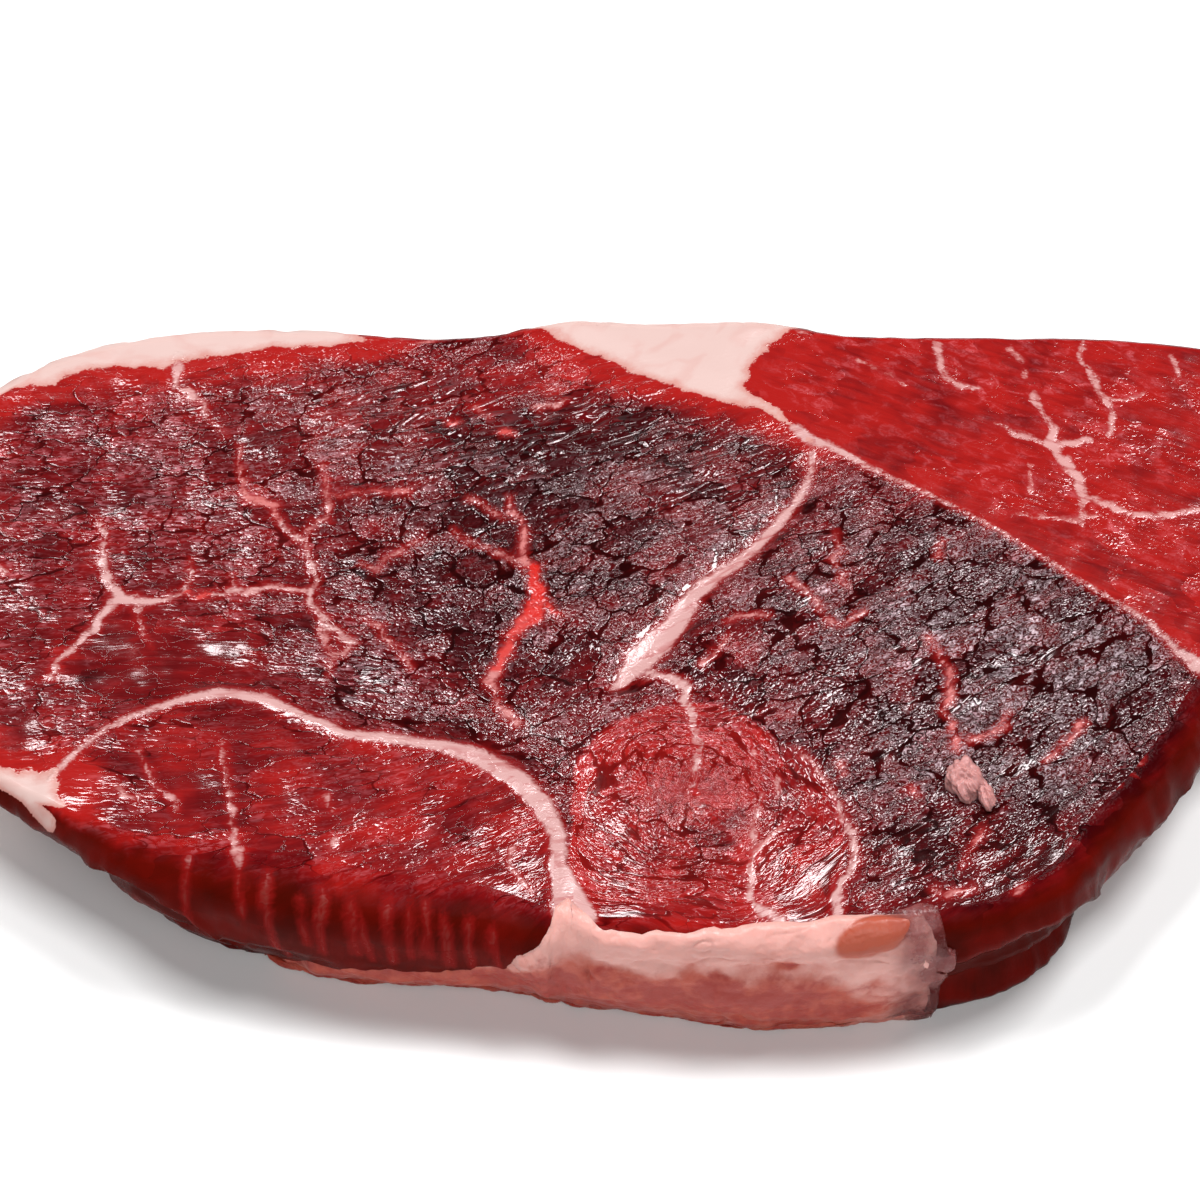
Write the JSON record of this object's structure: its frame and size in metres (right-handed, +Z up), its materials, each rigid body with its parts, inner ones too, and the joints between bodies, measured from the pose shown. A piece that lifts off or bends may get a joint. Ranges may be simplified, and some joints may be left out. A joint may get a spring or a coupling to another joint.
{
  "type": "raw sirloin steak",
  "caption": "Thick raw beef sirloin steak lying flat, with a lean cut face, an outer fat cap, fat seams between the muscles and pale marbling veins.",
  "frame": {"origin": "middle of the base, in plan the middle of the steak's bounding box", "axes": "+X along the length towards the cap muscle, +Y across the steak from the outer fat cap towards the back fat, +Z up from the base to the cut face"},
  "size_m": [0.2624, 0.134, 0.0298],
  "materials": {
    "lean_meat": "wet raw beef, deep red with a soft shine",
    "fat": "raw beef fat and connective tissue, pale pink to cream, slightly greasy"
  },
  "bodies": {
    "root": {"steak": "lean_meat"}
  },
  "joints": []
}
